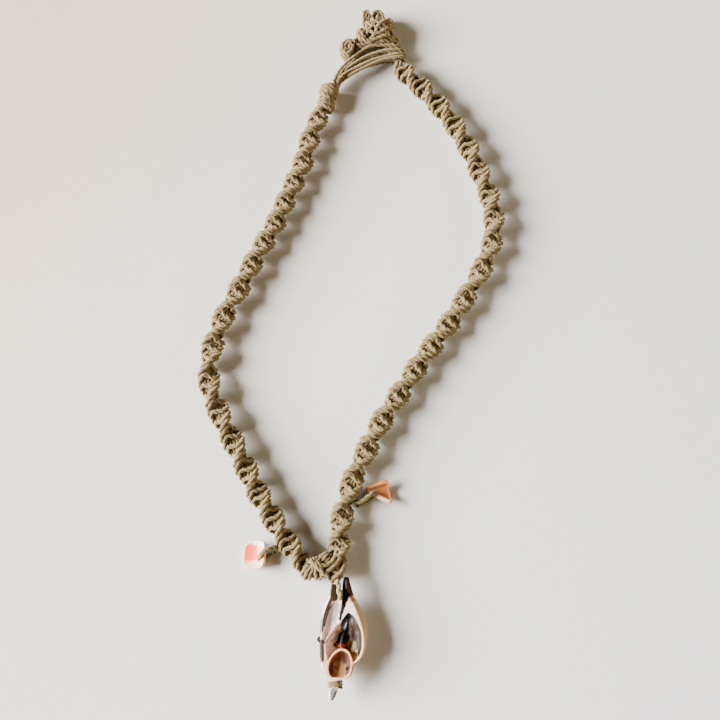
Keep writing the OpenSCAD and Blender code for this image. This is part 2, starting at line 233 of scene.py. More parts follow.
class Cords:
    """Gathers twisted cords into one mesh with a UV map that runs along each."""

    def __init__(self):
        self.points, self.faces, self.uvs = [], [], []
        self.count = 0

    def add_ply(self, centre, side, up, stops, radius, twist):
        """One smooth tube with closed ends, turned by twist at each ring."""
        n, facets = len(centre), PLY_FACETS
        angle = np.linspace(0, 2 * np.pi, facets, endpoint=False)[None, :] + twist[:, None]
        out = side[:, None] * np.cos(angle)[..., None] + up[:, None] * np.sin(angle)[..., None]
        rings = centre[:, None] + out * radius
        self.points += [rings.reshape(-1, 3), centre[:1], centre[-1:]]
        first = self.count
        last, caps = first + (n - 1) * facets, first + n * facets
        for i in range(n - 1):
            for k in range(facets):
                a, b = first + i * facets + k, first + i * facets + (k + 1) % facets
                self.faces.append((a, b, b + facets, a + facets))
                self.uvs += [(k / facets, stops[i]), ((k + 1) / facets, stops[i]),
                             ((k + 1) / facets, stops[i + 1]), (k / facets, stops[i + 1])]
        for k in range(facets):
            self.faces.append((first + (k + 1) % facets, first + k, caps))
            self.faces.append((last + k, last + (k + 1) % facets, caps + 1))
            self.uvs += [(0, stops[0])] * 3 + [(0, stops[-1])] * 3
        self.count += n * facets + 2

    def add_cord(self, route, d, step=RING_STEP, start=0.0):
        """Two plies laid round each other along a route in millimetres."""
        centre, stops = evenly_spaced(route, step)
        side, up = side_directions(centre)
        for ply in (0, 1):
            turn = start + np.pi * ply + 2 * np.pi * stops / CORD_LAY
            out = side * np.cos(turn)[:, None] + up * np.sin(turn)[:, None]
            self.add_ply(centre + out * d * PLY_OFFSET, side, up, stops, d * PLY_R, turn)

    def to_object(self, name, material, node):
        """The piece made of all cords gathered so far, in the place of its CAD node."""
        points = (np.concatenate(self.points) - LAYOUT_MIDDLE) * MM
        points[:, 2] = np.maximum(points[:, 2], 0)  # cord lies flat where it presses on the table
        mesh = bpy.data.meshes.new(name)
        mesh.from_pydata(points.tolist(), [], self.faces)
        layer = mesh.uv_layers.new(name="along")
        layer.data.foreach_set("uv", np.array(self.uvs, dtype=np.float32).ravel())
        mesh.polygons.foreach_set("use_smooth", [True] * len(mesh.polygons))
        mesh.materials.append(material)
        mesh.update()
        piece = bpy.data.objects.new(name, mesh)
        bpy.context.scene.collection.objects.link(piece)
        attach(piece, "root")
        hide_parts(node)


def multiply(nodes, links, below, above, strength):
    """One colour washed over another."""
    mix = nodes.new("ShaderNodeMix")
    mix.data_type = "RGBA"
    mix.blend_type = "MULTIPLY"
    mix.inputs["Factor"].default_value = strength
    links.new(below, mix.inputs[6])
    links.new(above, mix.inputs[7])
    return mix.outputs[2]


def relief(nodes, links, shader, height, strength, depth):
    """Fine relief, depth in metres."""
    bump = nodes.new("ShaderNodeBump")
    bump.inputs["Strength"].default_value = strength
    bump.inputs["Distance"].default_value = depth
    links.new(height, bump.inputs["Height"])
    links.new(bump.outputs["Normal"], shader.inputs["Normal"])


def hemp_material(name, light, dark):
    """Natural hemp: patches of lighter, browner and greener fibre, streaks along the ply, with painted
    shade darkening its crevices.
    """
    material, nodes, links, shader = new_material(name, roughness=0.78)
    where = nodes.new("ShaderNodeTexCoord")
    patches = noise_texture(nodes, links, where.outputs["Object"], scale=190, detail=4)
    stretch = nodes.new("ShaderNodeMapping")
    stretch.inputs["Scale"].default_value = (9.0, 0.9, 1.0)
    links.new(where.outputs["UV"], stretch.inputs["Vector"])
    streaks = noise_texture(nodes, links, stretch.outputs["Vector"], scale=1.6, detail=5)
    both = nodes.new("ShaderNodeMix")
    both.inputs["Factor"].default_value = 0.5
    links.new(patches.outputs["Fac"], both.inputs["A"])
    links.new(streaks.outputs["Fac"], both.inputs["B"])
    middle = tuple((a + b) / 2 for a, b in zip(light, dark))
    tone = colour_ramp(nodes, [(0.36, dark), (0.5, middle), (0.62, light)])
    links.new(both.outputs["Result"], tone.inputs["Fac"])
    # Painted shade: the colour is darkened and warmed where ambient occlusion finds crevices between the
    # cords
    crevice = nodes.new("ShaderNodeAmbientOcclusion")
    crevice.samples = 6
    crevice.only_local = True
    crevice.inputs["Distance"].default_value = 0.0016
    crevice_shade = colour_ramp(nodes, [(0.2, (0.98, 0.90, 0.76)), (0.7, (1.0, 1.0, 1.0))])
    links.new(crevice.outputs["AO"], crevice_shade.inputs["Fac"])
    tint = noise_texture(nodes, links, where.outputs["Object"], scale=70, detail=2)
    tint_tone = colour_ramp(nodes, [(0.4, (1.0, 0.955, 0.94)), (0.6, (0.98, 1.0, 0.84))])
    links.new(tint.outputs["Fac"], tint_tone.inputs["Fac"])
    tinted = multiply(nodes, links, tone.outputs["Color"], tint_tone.outputs["Color"], strength=1)
    darker = multiply(nodes, links, tinted, crevice_shade.outputs["Color"], strength=1)
    links.new(darker, shader.inputs["Base Color"])
    relief(nodes, links, shader, streaks.outputs["Fac"], strength=0.5, depth=0.00012)
    shader.inputs["Subsurface Weight"].default_value = 0.4
    shader.inputs["Subsurface Radius"].default_value = (1.0, 0.75, 0.45)
    shader.inputs["Subsurface Scale"].default_value = 0.0008
    shader.inputs["Diffuse Roughness"].default_value = 1.0
    shader.inputs["Sheen Weight"].default_value = 0.3
    shader.inputs["Sheen Tint"].default_value = (1.0, 0.86, 0.62, 1)
    shader.inputs["Sheen Roughness"].default_value = 0.5
    shader.inputs["Specular IOR Level"].default_value = 0.2
    return material


hemp = hemp_material("hemp", light=(0.205, 0.148, 0.071), dark=(0.17, 0.116, 0.050))
dice = random.Random(7)


def about(value, spread):
    """A hand-made measure: the value, more or less the spread."""
    return value + dice.uniform(-spread, spread)


def band_frame(route, u):
    """Middle of a band and its width and thickness directions at u half turns."""
    place = curve_through(route, u)
    ahead = curve_through(route, u + 0.01) - curve_through(route, u - 0.01)
    ahead /= np.linalg.norm(ahead, axis=1)[:, None]
    side = np.stack([-ahead[:, 1], ahead[:, 0], np.zeros(len(u))], axis=1)
    up = np.array([[0.0, 0.0, 1.0]])
    turned = np.pi * u - NECK_TWIST * np.sin(2 * np.pi * u)
    c, s = np.cos(turned)[:, None], np.sin(turned)[:, None]
    middle = np.column_stack([place, np.full(len(u), BAND_Z)])
    return middle, side * c * (1 + FLAT_SPREAD) + up * s, up * c - side * s * (1 + FLAT_SPREAD)


def tie_band(route, span):
    """All half knots of one band over its core, span in half turns of the route."""
    cords = Cords()
    first = math.ceil(span[0] * KNOTS_PER_TURN - 0.5)
    last = math.floor(span[1] * KNOTS_PER_TURN - 0.5)

    def places(rows):
        rows = np.array(rows)
        u = rows[:, 2]
        middle, wide, thin = band_frame(route, u)
        from_end = np.minimum(u - span[0], span[1] - u) / TAPER_TURNS
        size = np.clip(END_SIZE + (1 - END_SIZE) * from_end, LEAST_SIZE, 1)[:, None]
        return middle + wide * size * rows[:, :1] + thin * size * rows[:, 1:2]

    for cord in (0, 1):
        rows = []
        for knot in range(first, last + 1):
            hand = 1 if (knot + cord) % 2 == 0 else -1
            for x, y, forward in half_knot:
                rows.append((about(hand * x * KNOT_W, 0.12),
                             about(hand * y * KNOT_T, 0.06),
                             about((knot + 0.5 + forward) / KNOTS_PER_TURN, 0.012)))
        cords.add_cord(places(rows), WORKING_CORD_D, start=cord)
    for x in CORE_PLACES:
        rows = [(about(x, 0.1), 0, u) for u in np.arange(span[0], span[1] + CORE_STEP / 2, CORE_STEP)]
        cords.add_cord(places(rows), CORE_CORD_D, step=CORE_RING_STEP)
    return cords


tie_band(left_route, LEFT_SPAN).to_object("left_band", hemp, "left_sinnet")
tie_band(right_route, RIGHT_SPAN).to_object("right_band", hemp, "right_sinnet")


# End knot of the left band: the four cords are wound round themselves and
# drawn tight, three lobes of turns that lie at a slant to each other.
WOUND_CORD_D = CORD_D * 1.12
# Room that each turn takes along the lobe, in cord diameters
TURN_PITCH = 0.8832
TURN_STEP = 0.07
# The last turns at both ends are tucked in, to this radius and this far out
TUCK_TURNS = 1.5
TUCK_R = 0.45
TUCK_OUT = 0.3

# x, y, z of each lobe, the way it points in degrees, turns, radius
end_knot_lobes = [
    [-9.2, 84.8, 3.6, 80, 4, 3.6], [-9.8, 81.9, 3.6, 52, 2, 3.3], [-10.4, 79.2, 3.6, 67, 3, 3.4]]


def wind_lobe(cords, x, y, z, axis, turns, radius, swing=8, blunt=1.0):
    """Turns of cord round a lobe, fanned by swing degrees and smaller towards its
    ends, less so the blunter it is. The cord's ends spiral inwards and are tucked in."""
    middle = (turns - 1) / 2
    up = np.array([0, 0, 1.0])
    start = dice.uniform(0, 2 * math.pi)
    rows = []
    for t in np.arange(-TUCK_TURNS, turns - 1 + TUCK_TURNS + 0.01, TURN_STEP):
        past = max(-t, t - (turns - 1), 0) / TUCK_TURNS
        level = min(max(t - middle, -middle), middle)
        lean = math.radians(axis + swing * level / max(middle, 1))
        along = np.array([math.cos(lean), math.sin(lean), 0])
        side = np.array([-along[1], along[0], 0])
        full = math.sqrt(1 - (level / (middle + blunt))**2)
        r = (radius - CORD_D / 2) * full * (1 - past) + TUCK_R * past
        phi = start + 2 * math.pi * t
        out = level * CORD_D * TURN_PITCH + math.copysign(TUCK_OUT * past, level)
        place = np.array([x, y, z]) + along * out
        rows.append(place + (side * math.cos(phi) + up * math.sin(phi)) * about(r, 0.06))
    cords.add_cord(rows, WOUND_CORD_D, start=start)


end_knot = Cords()
for lobe in end_knot_lobes:
    wind_lobe(end_knot, *lobe, swing=4, blunt=3.0)
end_knot.to_object("wrapped_end_knot", hemp, "end_knot")


# Button loop: the band's four cords run on out of the end knot side by
# side, pass over the button's neck, turn round it and come back below.
loop_legs = [
    [[-7.6, 87.6, 5.5], [-6.0, 91.6, 5.3], [-3.6, 95.2, 5.2], [0.8, 99.1, 5.3],
     [4.8, 101.5, 5.4], [9.0, 102.6, 5.3], [13.0, 102.6, 5.1]],
    [[-7.6, 87.6, 4.2], [-5.2, 90.9, 4.2], [-2.6, 93.6, 4.6], [1.3, 96.7, 4.8],
     [5.3, 98.8, 5.0], [9.6, 100.3, 5.1], [14.0, 100.9, 5.1]],
    [[-6.3, 87.4, 5.5], [-4.4, 90.2, 5.3], [-1.9, 92.2, 5.0], [1.9, 94.6, 4.9],
     [5.8, 96.5, 5.0], [10.2, 98.1, 5.1], [14.6, 99.2, 5.1]],
    [[-6.3, 87.4, 4.2], [-3.7, 89.4, 4.2], [-1.2, 91.2, 4.6], [2.3, 93.4, 4.8],
     [6.1, 95.4, 5.0], [10.5, 97.0, 5.1], [14.8, 97.9, 5.1]]]
# The way back lies below: its height for the outer and the inner strands,
# and how far each strand shifts sideways on the way round.
loop_low_z = [[1.6, 2.2, 2.8, 3.2, 2.6, 1.3, 0.65], [2.9, 2.9, 3.1, 3.2, 2.6, 1.3, 0.65]]
loop_low_shift = [0.1, 0.4, 0.8, 1.1]
LOOP_TURN_R = 2.2
LOOP_TURN_OUT = 0.6

button_loop = Cords()
for i, leg in enumerate(loop_legs):
    leg = [leg[0]] + [[x, about(y, 0.2), about(z, 0.2)] for x, y, z in leg[1:-1]] + [leg[-1]]
    tip_x, tip_y, tip_z = leg[-1]
    shift = loop_low_shift[i]
    turn = [[tip_x + LOOP_TURN_OUT + LOOP_TURN_R * math.sin(a), tip_y + shift * a / math.pi,
             tip_z - LOOP_TURN_R * (1 - math.cos(a))] for a in (math.pi / 4, math.pi / 2, 3 * math.pi / 4)]
    back = [[x, y + (shift if k > 0 else 0), loop_low_z[i % 2][k]]
            for k, (x, y, z) in reversed(list(enumerate(leg)))]
    button_loop.add_cord(leg + turn + back, CORD_D, start=i)
button_loop.to_object("loop_strands", hemp, "button_loop")


# Button: the right band's cords run on as a short neck and are knotted over
# each other again and again, into a cluster too thick to slip out of the
# loop. Bends of cord stand out of it, and strands cross over its middle.
button_lobes = [
    [5.6, 109.0, 4.0, -20, 4, 3.6], [2.4, 106.0, 4.0, 24, 3, 3.9], [9.0, 107.2, 4.2, -58, 4, 3.7],
    [12.9, 105.5, 3.4, 80, 2, 2.8], [-0.4, 104.2, 3.4, -40, 2, 2.6]]
button_bends = [
    [[3.0, 108.4], [2.7, 112.0], [2.6, 114.6], [3.2, 116.3], [4.3, 116.3], [4.95, 114.7],
     [4.9, 112.0], [4.8, 108.4]],
    [[6.0, 108.2], [5.8, 112.0], [5.8, 114.2], [6.8, 116.0], [8.6, 116.3], [10.0, 114.6],
     [10.1, 112.0], [9.0, 108.4]],
    [[3.7, 108.4], [3.75, 110.6], [3.8, 112.8], [3.75, 114.9]],
    [[7.7, 108.6], [7.5, 112.2], [8.2, 114.6], [8.9, 112.2], [8.4, 108.8]],
    [[8.8, 107.6], [10.2, 110.9], [11.6, 113.0], [13.0, 112.1], [12.7, 109.8], [11.0, 106.8]],
    [[9.6, 107.2], [10.9, 109.9], [11.9, 111.3], [11.8, 109.4], [10.6, 106.9]],
    [[0.4, 103.2], [-1.2, 104.4], [-3.2, 104.4], [-4.8, 102.7], [-5.0, 100.5], [-3.9, 98.4], [-2.2, 98.1],
     [-1.2, 99.7], [-0.6, 102.1]],
    [[-0.9, 102.9], [-2.4, 103.3], [-3.6, 101.9], [-3.7, 100.3], [-2.8, 99.4], [-2.1, 100.5],
     [-1.8, 102.1]]]
button_crossings = [
    [[3.0, 111.6, 4.6], [4.2, 110.5, 7.0], [6.3, 108.9, 7.7], [8.8, 107.8, 7.9],
     [11.4, 106.2, 6.9], [12.9, 104.6, 4.6]],
    [[4.4, 103.2, 4.2], [5.0, 103.9, 6.2], [6.8, 105.6, 7.5], [7.9, 108.2, 8.3],
     [9.9, 110.5, 7.7], [11.6, 112.0, 5.2]],
    [[5.6, 112.6, 6.2], [6.5, 111.2, 7.6], [8.0, 109.9, 7.9], [10.2, 109.0, 7.6],
     [12.4, 107.6, 6.0], [13.6, 106.4, 3.8]],
    [[1.2, 105.0, 5.0], [2.6, 104.0, 6.9], [4.9, 103.2, 6.6], [7.6, 104.3, 6.8],
     [10.4, 105.2, 6.9], [12.8, 105.9, 5.0]],
    [[-0.6, 103.6, 5.2], [1.2, 102.6, 5.6], [3.6, 102.6, 5.4], [6.6, 103.4, 5.6],
     [10.0, 104.0, 5.8], [13.4, 104.0, 4.4]],
    [[2.6, 110.8, 5.0], [4.4, 110.0, 7.0], [6.6, 110.4, 7.7], [9.2, 110.6, 7.4],
     [11.6, 109.6, 6.4], [12.8, 108.4, 4.4]],
    [[3.4, 104.6, 5.0], [4.2, 106.4, 7.2], [5.6, 108.2, 7.8], [7.4, 110.6, 7.4], [8.0, 113.0, 6.2]],
    [[2.2, 109.6, 4.6], [3.6, 108.2, 7.2], [5.4, 106.5, 7.6], [8.0, 105.9, 7.7],
     [10.8, 107.4, 7.6], [12.3, 109.6, 5.4]],
    [[-2.0, 99.6, 4.2], [-0.4, 100.6, 4.6], [1.4, 101.6, 4.8], [4.4, 102.6, 4.6]],
    [[-1.8, 101.6, 2.4], [0.4, 101.2, 2.6], [2.6, 102.2, 2.8], [5.4, 103.4, 3.0]]]
neck_route = [
    [15.9, 95.2, 2.9], [15.0, 97.6, 2.9], [13.6, 100.4, 2.9], [11.6, 103.2, 3.0],
    [8.4, 106.6, 3.6], [2.4, 106.4, 3.8], [-2.9, 101.6, 3.5]]
BEND_LOW = 1.2
BEND_HIGH = 6.4
BEND_LAYERS = 5
BEND_END_SIZE = 0.84
CROSSING_CORD_D = CORD_D * 1.18
# The neck is a bundle of cords; its lay is the length for one radian of twist
NECK_CORDS = 4
NECK_R = 0.75
NECK_STEP = 1.5
NECK_LAY = 5


def stack_bends(cords, bend):
    """One bend of cord laid several times on top of itself, smaller at the top and bottom."""
    middle = np.mean(bend, axis=0)
    for z in np.linspace(BEND_LOW, BEND_HIGH, BEND_LAYERS):
        level = (2 * z - BEND_LOW - BEND_HIGH) / (BEND_HIGH - BEND_LOW)
        size = 1 - (1 - BEND_END_SIZE) * level**2
        rows = []
        for place in bend:
            x, y = middle + (np.array(place) - middle) * size
            rows.append([about(x, 0.15), about(y, 0.15), about(z, 0.2)])
        cords.add_cord(rows, CORD_D, start=z)


button = Cords()
for lobe in button_lobes:
    wind_lobe(button, *lobe)
for bend in button_bends:
    stack_bends(button, bend)
centre, stops = evenly_spaced(neck_route, NECK_STEP)
side, up = side_directions(centre)
for i in range(NECK_CORDS):
    turn = 2 * math.pi / NECK_CORDS * i + stops / NECK_LAY
    out = side * np.cos(turn)[:, None] + up * np.sin(turn)[:, None]
    button.add_cord(centre + out * NECK_R, CORD_D, start=i)
for route in button_crossings:
    button.add_cord(route, CROSSING_CORD_D, start=route[0][0])
button.to_object("button_cluster", hemp, "button_knot")


# Centre knot, where both bands end: their cords are tied over each other in
# coils, and one of them runs down between the shell's prongs to hold it.
centre_knot_lobes = [
    [-11.3, -78.9, 3.6, -4, 3, 3.6], [-8.6, -79.4, 3.5, 30, 2, 2.9],
    [-9.0, -76.2, 3.6, -50, 3, 2.5], [-5.6, -80.0, 3.8, 87, 4, 2.6],
    [-4.3, -76.4, 3.3, 80, 3, 2.5], [-13.8, -79.9, 3.4, -38, 3, 3.0]]
centre_crossings = [
    [[-4.0, -73.6, 4.4], [-4.3, -75.0, 5.6], [-5.0, -77.2, 6.0], [-6.8, -79.2, 6.5],
     [-9.2, -80.6, 6.2], [-10.6, -82.2, 4.4]],
    [[-5.4, -73.6, 4.4], [-5.6, -75.2, 5.6], [-6.6, -77.0, 6.3], [-8.6, -78.4, 6.7],
     [-10.6, -78.0, 6.8], [-12.6, -76.2, 5.0]],
    [[-3.4, -74.0, 3.0], [-3.2, -76.0, 4.2], [-3.2, -78.2, 5.2], [-4.0, -80.4, 6.3],
     [-6.2, -81.8, 6.0], [-7.6, -82.6, 4.2]],
    [[-14.2, -76.6, 4.6], [-12.4, -77.4, 6.4], [-10.2, -79.6, 7.0], [-8.0, -81.4, 6.2], [-6.4, -83.0, 4.2]]]
CENTRE_CROSSING_D = CORD_D * 1.2
hanger_route = [
    [-5.3, -82.2, 5.0], [-4.9, -84.2, 6.0], [-4.55, -85.9, 6.5], [-4.2, -87.5, 6.4], [-3.85, -88.9, 5.6]]
HANGER_D = 1.85
SHORT_RING_STEP = 0.3

centre_knot = Cords()
for lobe in centre_knot_lobes:
    wind_lobe(centre_knot, *lobe)
for route in centre_crossings:
    centre_knot.add_cord(route, CENTRE_CROSSING_D, start=route[0][0])
centre_knot.to_object("centre_coils", hemp, "centre_knot")

hanger = Cords()
hanger.add_cord(hanger_route, HANGER_D, step=SHORT_RING_STEP)
pale_hemp = hemp_material("pale_hemp", light=(0.39, 0.30, 0.17), dark=(0.27, 0.20, 0.10))
hanger.to_object("hanger", pale_hemp, "hanger_cord")


# Pendant: one sea shell, cut and ground flat, so that its chambers and dark
# inner pillar are open to view, with two prongs round the hanger. It is rolled
# from sections, joined, hollowed, rounded off all over and painted in strokes.
GROUND_Z = 6.6
SHELL_AT = np.array([-3.4, -101.2, 0.0])

# y, left and right edge of the ground face, left and right side, depth
shell_rows = [
    [-15.4, -3.5, -2.9, -3.7, -2.7, 0.9], [-13.9, -4.0, -2.1, -4.2, -1.9, 1.7],
    [-12.9, -3.9, -1.7, -4.1, -1.5, 2.1], [-12.1, -3.0, -1.5, -3.2, -1.3, 2.0],
    [-9.9, -3.0, -1.4, -3.2, -1.2, 2.0], [-9.2, -4.6, 1.5, -4.9, 1.8, 3.9],
    [-7.3, -5.6, 2.5, -6.0, 2.9, 4.8], [-5.6, -6.0, 2.9, -6.4, 3.3, 5.6],
    [-4.4, -6.2, 4.6, -6.6, 4.9, 6.0], [-2.9, -6.4, 5.7, -6.8, 6.0, 6.3],
    [-0.5, -6.5, 6.3, -6.9, 6.6, 6.6], [2.0, -6.5, 6.2, -6.9, 7.2, 6.6],
    [4.5, -6.3, 5.8, -6.8, 7.3, 6.5], [7.3, -6.0, 4.9, -6.5, 6.7, 6.2],
    [9.4, -5.5, 4.1, -6.0, 5.8, 5.8], [11.5, -4.8, 3.2, -5.3, 4.7, 5.2],
    [13.2, -4.1, 2.6, -4.6, 3.8, 4.6]]
left_prong_rows = [
    [12.8, -4.2, -1.3, -4.7, -1.2, 3.6], [15.5, -3.6, -1.9, -4.0, -1.8, 2.6],
    [17.5, -3.3, -2.3, -3.6, -2.2, 1.8]]
right_prong_rows = [
    [12.8, 0.0, 2.6, -0.1, 3.6, 4.2], [15.5, -0.3, 2.2, -0.4, 2.8, 3.2],
    [17.8, -0.1, 1.8, -0.2, 2.1, 2.4], [19.5, 0.3, 1.4, 0.2, 1.7, 1.5]]
# y, left, right, depth of the chambers and of the wall round the lower one
left_chamber = [
    [12.4, -2.8, -1.0, 0.5], [11.2, -3.7, -0.2, 1.0], [9.4, -4.8, -0.4, 1.4],
    [7.3, -5.4, -1.0, 1.6], [5.5, -5.7, -2.1, 1.6], [3.4, -5.9, -3.6, 1.5],
    [1.9, -5.9, -4.7, 1.1], [0.8, -5.8, -5.3, 0.6]]
right_chamber = [
    [9.1, 1.4, 2.1, 0.6], [7.9, 0.4, 3.5, 1.5], [6.4, -0.6, 4.3, 2.2],
    [4.6, -1.4, 5.1, 2.7], [3.1, -2.7, 5.5, 2.9], [1.6, -4.0, 5.6, 3.0],
    [0.4, -4.9, 5.6, 3.0], [-0.9, -5.0, 5.5, 2.9], [-2.5, -4.8, 5.1, 2.7],
    [-3.6, -4.6, 4.4, 2.3], [-4.4, -4.5, 3.8, 1.6], [-4.9, -4.3, 3.0, 0.7]]
lower_chamber = [
    [-1.7, -0.9, 0.4, 0.7], [-2.6, -2.3, 1.6, 1.5], [-4.1, -3.5, 2.2, 2.3],
    [-5.5, -4.0, 2.4, 2.6], [-7.0, -4.1, 2.2, 2.4], [-8.4, -3.7, 1.4, 1.8],
    [-9.1, -2.8, 0.2, 0.7]]
lower_wall = [
    [-1.0, -0.9, 0.5, 1.6], [-1.6, -2.1, 1.6, 4.4], [-2.6, -3.1, 2.3, 4.8],
    [-4.1, -4.1, 2.8, 5.0], [-5.5, -4.5, 2.9, 4.8]]
# x, y, height below the ground face, radius
pillar = [[1.4, 8.0, 1.5, 0.5], [0.9, 5.0, 2.1, 0.9], [0.3, 2.0, 2.4, 1.4], [-0.1, -0.6, 2.7, 1.6]]
spine_stub = [-6.9, 1.6, 2.0, 0.85]
# The slanting hole between the prongs that takes the hanger
HANGER_HOLE_AT = [-0.2, 13.4, GROUND_Z - 1.7]
HANGER_HOLE_D = 1.5
HANGER_HOLE_DEPTH = 6
HANGER_HOLE_LEAN = (math.radians(-84), 0, math.radians(8))
PENDANT_VOXEL = 0.2
# Parts that the gap between two rows of a table has, and points round a section
GAP_PARTS = 3
FLAT_POINTS = 7
HALF_ROUND_POINTS = 25
CIRCLE_POINTS = 24
# The shell is broadest at this share of its depth. The powers make its back
# and its chambers rounder than an ellipse.
BROADEST_AT = 0.3
BACK_POWER = 0.9
CHAMBER_POWER = 0.8
CUT_CLEARANCE = 1


def flat_topped(x0, x1, y, top):
    """Points across the flat top of a section, from its left to its right edge."""
    return [[x, y, top] for x in np.linspace(x0, x1, FLAT_POINTS)]


def shell_section(row):
    """Section across the shell: its ground face, its steep sides and its rounded back."""
    y, cut_left, cut_right, left, right, depth = row
    middle, half = (left + right) / 2, (right - left) / 2
    side_z, below = GROUND_Z - BROADEST_AT * depth, (1 - BROADEST_AT) * depth
    back = [[middle + half * math.cos(a), y, side_z - below * math.sin(a)**BACK_POWER]
            for a in np.linspace(0, math.pi, HALF_ROUND_POINTS)]
    return np.array(flat_topped(cut_left, cut_right, y, GROUND_Z) + back) + SHELL_AT


def chamber_section(row, top):
    """Section across a chamber or the wall round it, from its top to its rounded floor."""
    y, left, right, depth = row
    middle, half = (left + right) / 2, (right - left) / 2
    bowl = [[middle + half * math.cos(a), y, GROUND_Z - depth * math.sin(a)**CHAMBER_POWER]
            for a in np.linspace(0, math.pi, HALF_ROUND_POINTS)]
    return np.array(flat_topped(left, right, y, top) + bowl) + SHELL_AT


def circle(x, y, radius):
    """Points round a circle."""
    return [[x + radius * math.cos(a), y + radius * math.sin(a)]
            for a in np.linspace(0, 2 * math.pi, CIRCLE_POINTS, endpoint=False)]


def pillar_section(place):
    """Round section across the pillar."""
    x, y, below, radius = place
    return np.array([[u, y, v] for u, v in circle(x, GROUND_Z - below, radius)]) + SHELL_AT


def loft(name, sections):
    """Closed solid: a grid rolled round sections of equal length."""
    around = len(sections[0])
    bpy.ops.object.select_all(action="DESELECT")
    bpy.ops.mesh.primitive_grid_add(x_subdivisions=around, y_subdivisions=len(sections) - 1)
    solid = bpy.context.object
    solid.name = name
    places = np.array([section[k % around] for section in sections for k in range(around + 1)])
    solid.data.vertices.foreach_set("co", ((places - LAYOUT_MIDDLE) * MM).ravel())
    bpy.ops.object.mode_set(mode="EDIT")
    bpy.ops.mesh.select_all(action="SELECT")
    bpy.ops.mesh.remove_doubles(threshold=1e-7)
    bpy.ops.mesh.fill_holes(sides=0)
    bpy.ops.mesh.normals_make_consistent(inside=False)
    bpy.ops.object.mode_set(mode="OBJECT")
    return solid


def combine(piece, tool, operation):
    """Joins a second solid to a piece or cuts it away, and uses it up."""
    modifier = piece.modifiers.new("combine", "BOOLEAN")
    modifier.operation = operation
    modifier.solver = "EXACT"
    modifier.object = tool
    bpy.context.view_layer.objects.active = piece
    bpy.ops.object.modifier_apply(modifier="combine")
    bpy.data.objects.remove(tool)


def round_off(piece, voxel, passes):
    """Makes one even mesh of a piece and softens its edges."""
    bpy.ops.object.select_all(action="DESELECT")
    bpy.context.view_layer.objects.active = piece
    remesh = piece.modifiers.new("even", "REMESH")
    remesh.mode = "VOXEL"
    remesh.voxel_size = voxel * MM
    bpy.ops.object.modifier_apply(modifier="even")
    soften = piece.modifiers.new("soften", "SMOOTH")
    soften.iterations = passes
    bpy.ops.object.modifier_apply(modifier="soften")
    for vertex in piece.data.vertices:
        vertex.co.z = max(vertex.co.z, 0)
    piece.data.polygons.foreach_set("use_smooth", [True] * len(piece.data.polygons))


def places_and_normals(piece, origin):
    """Vertices of a piece in millimetres from its own zero point, and their normals."""
    n = len(piece.data.vertices)
    places, normals = np.empty(n * 3, np.float32), np.empty(n * 3, np.float32)
    piece.data.vertices.foreach_get("co", places)
    piece.data.vertices.foreach_get("normal", normals)
    return places.reshape(-1, 3) / MM + LAYOUT_MIDDLE - origin, normals.reshape(-1, 3)


# Turns colours as they look in the photograph into the shell's own, darker tones
PAINT_POWER = 3.6


def shell_paint(colour):
    """The shell's own tone for a colour as it looks in the photograph."""
    return np.array(colour) ** PAINT_POWER


def stroke(colours, places, where, colour, radius, soft, route):
    """One stroke of a round brush along a route, seen from above."""
    nearest = np.full(len(places), np.inf)
    for start, end in zip(route, route[1:] if len(route) > 1 else route):
        start, along = np.array(start), np.array(end) - np.array(start)
        part = places[:, :2] - start
        t = np.clip(part @ along / max(along @ along, 1e-9), 0, 1)
        nearest = np.minimum(nearest, np.linalg.norm(part - t[:, None] * along, axis=1))
    cover = np.clip((radius + soft / 2 - nearest) / soft, 0, 1) * where
    colours += cover[:, None] * (shell_paint(colour) - colours)


def paint_strokes(colours, places, where, strokes):
    """Lays strokes over each other, each as colour, radius, softness and route."""
    for row in strokes:
        stroke(colours, places, where, *row)


def store_paint(piece, colours):
    """Keeps the painted colours on the piece, where its material finds them."""
    paint = piece.data.attributes.new("paint", "FLOAT_COLOR", "POINT")
    opaque = np.column_stack([colours, np.ones(len(colours))]).astype(np.float32)
    paint.data.foreach_set("color", opaque.ravel())


def shell_material(name, roughness):
    """Shell: the painted colour, mottled a little, under a worn polish."""
    material, nodes, links, shader = new_material(name, roughness)
    where = nodes.new("ShaderNodeTexCoord")
    paint = nodes.new("ShaderNodeAttribute")
    paint.attribute_name = "paint"
    mottle = noise_texture(nodes, links, where.outputs["Object"], scale=900, detail=5)
    shade = colour_ramp(nodes, [(0.3, (0.72, 0.70, 0.68)), (0.6, (1.0, 1.0, 1.0))])
    links.new(mottle.outputs["Fac"], shade.inputs["Fac"])
    mottled = multiply(nodes, links, paint.outputs["Color"], shade.outputs["Color"], strength=0.6)
    links.new(mottled, shader.inputs["Base Color"])
    growth = nodes.new("ShaderNodeTexWave")
    growth.bands_direction = "DIAGONAL"
    growth.inputs["Scale"].default_value = 420
    growth.inputs["Distortion"].default_value = 6
    links.new(where.outputs["Object"], growth.inputs["Vector"])
    relief(nodes, links, shader, growth.outputs["Fac"], strength=0.25, depth=0.0001)
    shader.inputs["Coat Weight"].default_value = 0.05
    shader.inputs["Coat Roughness"].default_value = 0.2
    shader.inputs["Specular IOR Level"].default_value = 0.05
    return material


def hollow_out(piece, rows):
    """Cuts a chamber that is open at the ground face."""
    sections = [chamber_section(row, GROUND_Z + CUT_CLEARANCE) for row in finer(rows, GAP_PARTS)]
    combine(piece, loft("chamber", sections), "DIFFERENCE")


